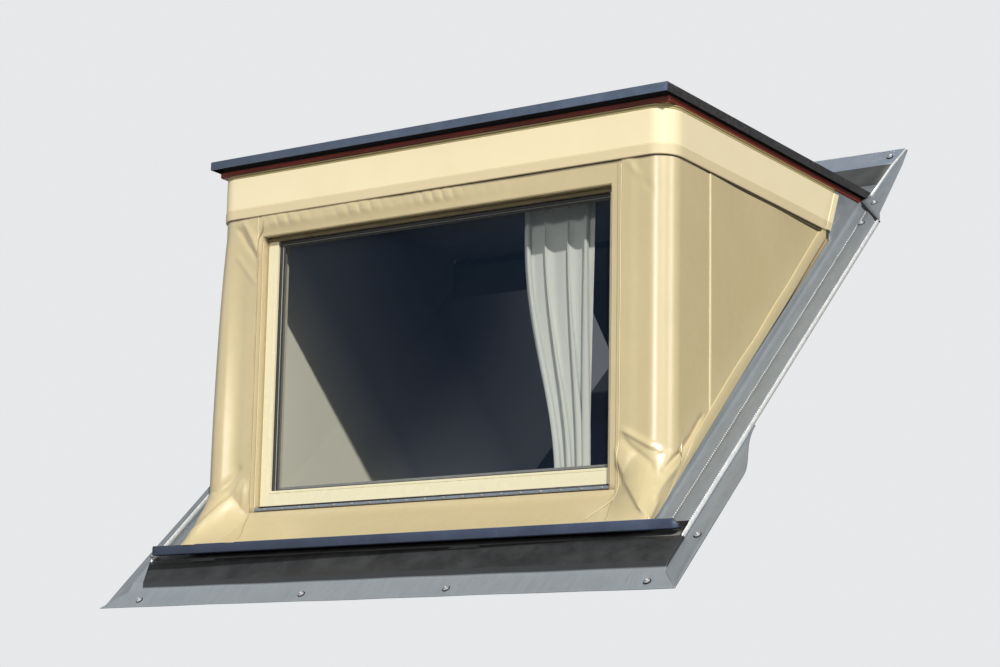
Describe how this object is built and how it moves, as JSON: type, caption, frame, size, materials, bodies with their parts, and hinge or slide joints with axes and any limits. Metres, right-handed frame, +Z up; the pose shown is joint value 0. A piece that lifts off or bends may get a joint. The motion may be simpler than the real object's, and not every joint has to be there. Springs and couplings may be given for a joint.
{
  "type": "box dormer window",
  "caption": "Box dormer for a steep roof: framed window, rounded sheet skin, deep fascia, flat roof with edge trim, and folded metal flashing round its sloping foot.",
  "frame": {"origin": "on the roof deck plane, at the middle of the underside of the front curb timber", "axes": "+X along the eaves, to the right seen from outside; +Y back into the roof; +Z up; the roof slope rises towards +Y at 43 degrees"},
  "size_m": [2.28, 1.8731, 1.7601],
  "materials": {
    "timber": "planed softwood",
    "wall_panel": "boarded insulated panel",
    "lining": "painted board, matt",
    "red_batten": "stained, matt",
    "covering": "mineral felt, matt",
    "slate_trim": "satin powder coat",
    "cream_metal": "satin powder coat",
    "membrane": "stretched coated sheet, soft sheen",
    "frame_cream": "smooth satin",
    "gasket": "matt",
    "glass": "clear, faint tint",
    "spacer": "brushed",
    "sill_metal": "satin",
    "flashing": "rolled sheet, slightly dull",
    "dark_flashing": "weathered sheet",
    "rail": "white paint",
    "curtain": "soft woven cloth"
  },
  "bodies": {
    "root": {"curb_front": "timber", "curb_left": "timber", "curb_right": "timber", "curb_back": "timber", "front_wall": "wall_panel", "corner_post_left": "timber", "corner_post_right": "timber", "cheek_left": "wall_panel", "cheek_right": "wall_panel", "roof_deck": "wall_panel", "roof_covering": "covering", "roof_trim_front": "slate_trim", "roof_trim_left": "slate_trim", "roof_trim_right": "slate_trim", "edge_batten_front": "red_batten", "edge_batten_left": "red_batten", "edge_batten_right": "red_batten", "fascia_front": "cream_metal", "fascia_left": "cream_metal", "fascia_right": "cream_metal", "skin_front": "membrane", "skin_corner_left": "membrane", "skin_corner_right": "membrane", "skin_cheek_left": "membrane", "skin_cheek_right": "membrane", "skin_skirt": "membrane", "foot_strip_left": "membrane", "foot_strip_right": "membrane", "window_frame": "frame_cream", "glazing_gasket": "gasket", "glass_outer": "glass", "glass_inner": "glass", "glass_spacer": "spacer", "sill_strip": "sill_metal", "base_trim": "slate_trim", "front_flashing": "flashing", "side_gutter_left": "dark_flashing", "side_gutter_right": "dark_flashing", "rear_flashing": "flashing", "ceiling_lining": "lining", "front_lining": "lining", "cheek_lining_left": "lining", "cheek_lining_right": "lining", "curtain_rail": "rail", "curtain": "curtain"}
  },
  "joints": []
}
